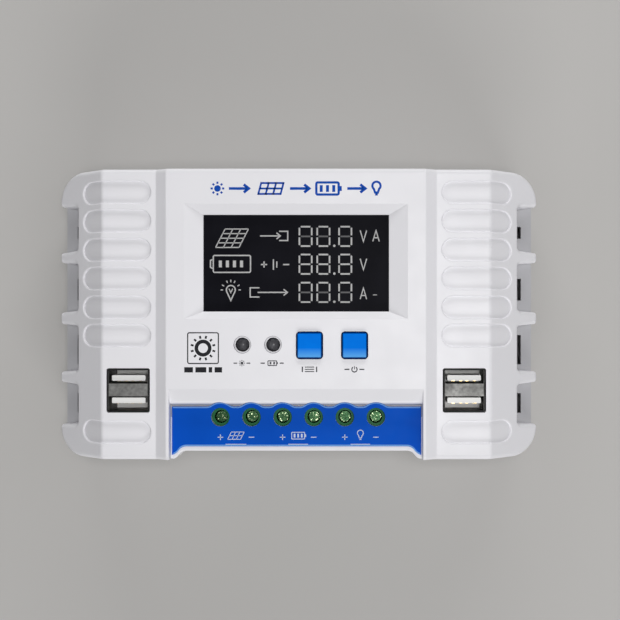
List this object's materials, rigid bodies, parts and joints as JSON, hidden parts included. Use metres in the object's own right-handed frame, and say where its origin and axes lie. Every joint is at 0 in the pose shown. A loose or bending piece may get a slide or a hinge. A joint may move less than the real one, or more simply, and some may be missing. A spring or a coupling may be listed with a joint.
{
  "type": "solar charge controller",
  "caption": "Wall-mounted solar charge controller in a ribbed two-part plastic case, with a dark display, lamps, blue buttons, stacked USB sockets and rising-clamp wire terminals.",
  "frame": {"origin": "centre of the case's footprint, on its back face", "axes": "+Z out of the front panel, +X to the right and +Y up as the controller hangs on a wall"},
  "size_m": [0.1608, 0.0944, 0.0429],
  "materials": {
    "case_plastic": "satin off-white moulded plastic",
    "label_blue": "printed blue film",
    "fixing_steel": "zinc plated",
    "clamp_screw_plated": "yellow passivated zinc",
    "clamp_cage_steel": "zinc plated",
    "contact_tinned": "tin plated copper",
    "terminal_green": "moulded terminal housing",
    "display_dark": "dark polished display glass",
    "display_frame": "moulded white",
    "backlight_white": "diffuser",
    "board_green": "solder mask",
    "button_blue": "moulded blue",
    "switch_black": "moulded black",
    "spring_steel": "thin spring steel",
    "lamp_smoke": "smoky clear epoxy",
    "socket_steel": "nickel plated sheet",
    "socket_white": "moulded white",
    "contact_gold": "gold flashed",
    "heatsink_alloy": "extruded, plain",
    "pad_grey": "silicone pad",
    "package_black": "moulded epoxy",
    "sleeve_black": "shrink sleeve",
    "ferrite_grey": "ferrite",
    "fuse_orange": "translucent moulded body",
    "shunt_alloy": "bare resistance wire"
  },
  "bodies": {
    "controller": {"capacitor_1": "sleeve_black", "capacitor_2": "sleeve_black", "case_screws": "fixing_steel", "controller_ic": "package_black", "current_shunt": "shunt_alloy", "display_board": "board_green", "display_board_screws": "fixing_steel", "front_shell": "case_plastic", "fuse": "fuse_orange", "fuse_holder": "switch_black", "heatsink": "heatsink_alloy", "inductor": "ferrite_grey", "label_film": "label_blue", "lcd_backlight": "backlight_white", "lcd_frame": "display_frame", "lcd_glass": "display_dark", "lcd_pins": "contact_tinned", "led_left": "lamp_smoke", "led_right": "lamp_smoke", "led_spacers": "switch_black", "link_header": "switch_black", "link_socket": "switch_black", "main_board": "board_green", "main_board_screws": "fixing_steel", "mosfet_1": "package_black", "mosfet_2": "package_black", "mosfet_3": "package_black", "mosfet_4": "package_black", "mosfet_screws": "fixing_steel", "rear_shell": "case_plastic", "switch_body_left": "switch_black", "switch_body_right": "switch_black", "switch_dome_left": "spring_steel", "switch_dome_right": "spring_steel", "terminal_block_1": "terminal_green", "terminal_block_2": "terminal_green", "terminal_block_3": "terminal_green", "terminal_contacts": "contact_tinned", "thermal_pads": "pad_grey", "usb_contacts": "contact_gold", "usb_insulator_left": "socket_white", "usb_insulator_right": "socket_white", "usb_shell_left": "socket_steel", "usb_shell_right": "socket_steel"},
    "button_left": {"button_cap_left": "button_blue", "switch_plunger_left": "switch_black"},
    "button_right": {"button_cap_right": "button_blue", "switch_plunger_right": "switch_black"},
    "screw_1": {"terminal_screw_1": "clamp_screw_plated"},
    "cage_1": {"clamp_cage_1": "clamp_cage_steel"},
    "screw_2": {"terminal_screw_2": "clamp_screw_plated"},
    "cage_2": {"clamp_cage_2": "clamp_cage_steel"},
    "screw_3": {"terminal_screw_3": "clamp_screw_plated"},
    "cage_3": {"clamp_cage_3": "clamp_cage_steel"},
    "screw_4": {"terminal_screw_4": "clamp_screw_plated"},
    "cage_4": {"clamp_cage_4": "clamp_cage_steel"},
    "screw_5": {"terminal_screw_5": "clamp_screw_plated"},
    "cage_5": {"clamp_cage_5": "clamp_cage_steel"},
    "screw_6": {"terminal_screw_6": "clamp_screw_plated"},
    "cage_6": {"clamp_cage_6": "clamp_cage_steel"}
  },
  "joints": [
    {"name": "button_left_press", "type": "slide", "parent": "controller", "child": "button_left", "axis": [0, 0, -1], "range_m": [0, 0.00035], "stiffness_N_per_m": 1500, "springref_m": -0.0004, "deforming": ["switch_dome_left"]},
    {"name": "button_right_press", "type": "slide", "parent": "controller", "child": "button_right", "axis": [0, 0, -1], "range_m": [0, 0.00035], "stiffness_N_per_m": 1500, "springref_m": -0.0004, "deforming": ["switch_dome_right"]},
    {"name": "terminal_screw_1_turn", "type": "hinge", "parent": "controller", "child": "screw_1", "pos_m": [-0.0249, -0.03355, 0.03], "axis": [0, 0, 1], "range_deg": [-1800, 0]},
    {"name": "clamp_cage_1_rise", "type": "slide", "parent": "controller", "child": "cage_1", "axis": [0, 0, 1], "range_m": [0, 0.0035]},
    {"name": "terminal_screw_2_turn", "type": "hinge", "parent": "controller", "child": "screw_2", "pos_m": [-0.01474, -0.03355, 0.03], "axis": [0, 0, 1], "range_deg": [-1800, 0]},
    {"name": "clamp_cage_2_rise", "type": "slide", "parent": "controller", "child": "cage_2", "axis": [0, 0, 1], "range_m": [0, 0.0035]},
    {"name": "terminal_screw_3_turn", "type": "hinge", "parent": "controller", "child": "screw_3", "pos_m": [-0.00458, -0.03355, 0.03], "axis": [0, 0, 1], "range_deg": [-1800, 0]},
    {"name": "clamp_cage_3_rise", "type": "slide", "parent": "controller", "child": "cage_3", "axis": [0, 0, 1], "range_m": [0, 0.0035]},
    {"name": "terminal_screw_4_turn", "type": "hinge", "parent": "controller", "child": "screw_4", "pos_m": [0.00558, -0.03355, 0.03], "axis": [0, 0, 1], "range_deg": [-1800, 0]},
    {"name": "clamp_cage_4_rise", "type": "slide", "parent": "controller", "child": "cage_4", "axis": [0, 0, 1], "range_m": [0, 0.0035]},
    {"name": "terminal_screw_5_turn", "type": "hinge", "parent": "controller", "child": "screw_5", "pos_m": [0.01574, -0.03355, 0.03], "axis": [0, 0, 1], "range_deg": [-1800, 0]},
    {"name": "clamp_cage_5_rise", "type": "slide", "parent": "controller", "child": "cage_5", "axis": [0, 0, 1], "range_m": [0, 0.0035]},
    {"name": "terminal_screw_6_turn", "type": "hinge", "parent": "controller", "child": "screw_6", "pos_m": [0.0259, -0.03355, 0.03], "axis": [0, 0, 1], "range_deg": [-1800, 0]},
    {"name": "clamp_cage_6_rise", "type": "slide", "parent": "controller", "child": "cage_6", "axis": [0, 0, 1], "range_m": [0, 0.0035]}
  ],
  "couplings": [
    {"joint": "terminal_screw_1_turn", "follows": "clamp_cage_1_rise", "rad_per_m": -8976},
    {"joint": "terminal_screw_2_turn", "follows": "clamp_cage_2_rise", "rad_per_m": -8976},
    {"joint": "terminal_screw_3_turn", "follows": "clamp_cage_3_rise", "rad_per_m": -8976},
    {"joint": "terminal_screw_4_turn", "follows": "clamp_cage_4_rise", "rad_per_m": -8976},
    {"joint": "terminal_screw_5_turn", "follows": "clamp_cage_5_rise", "rad_per_m": -8976},
    {"joint": "terminal_screw_6_turn", "follows": "clamp_cage_6_rise", "rad_per_m": -8976}
  ]
}
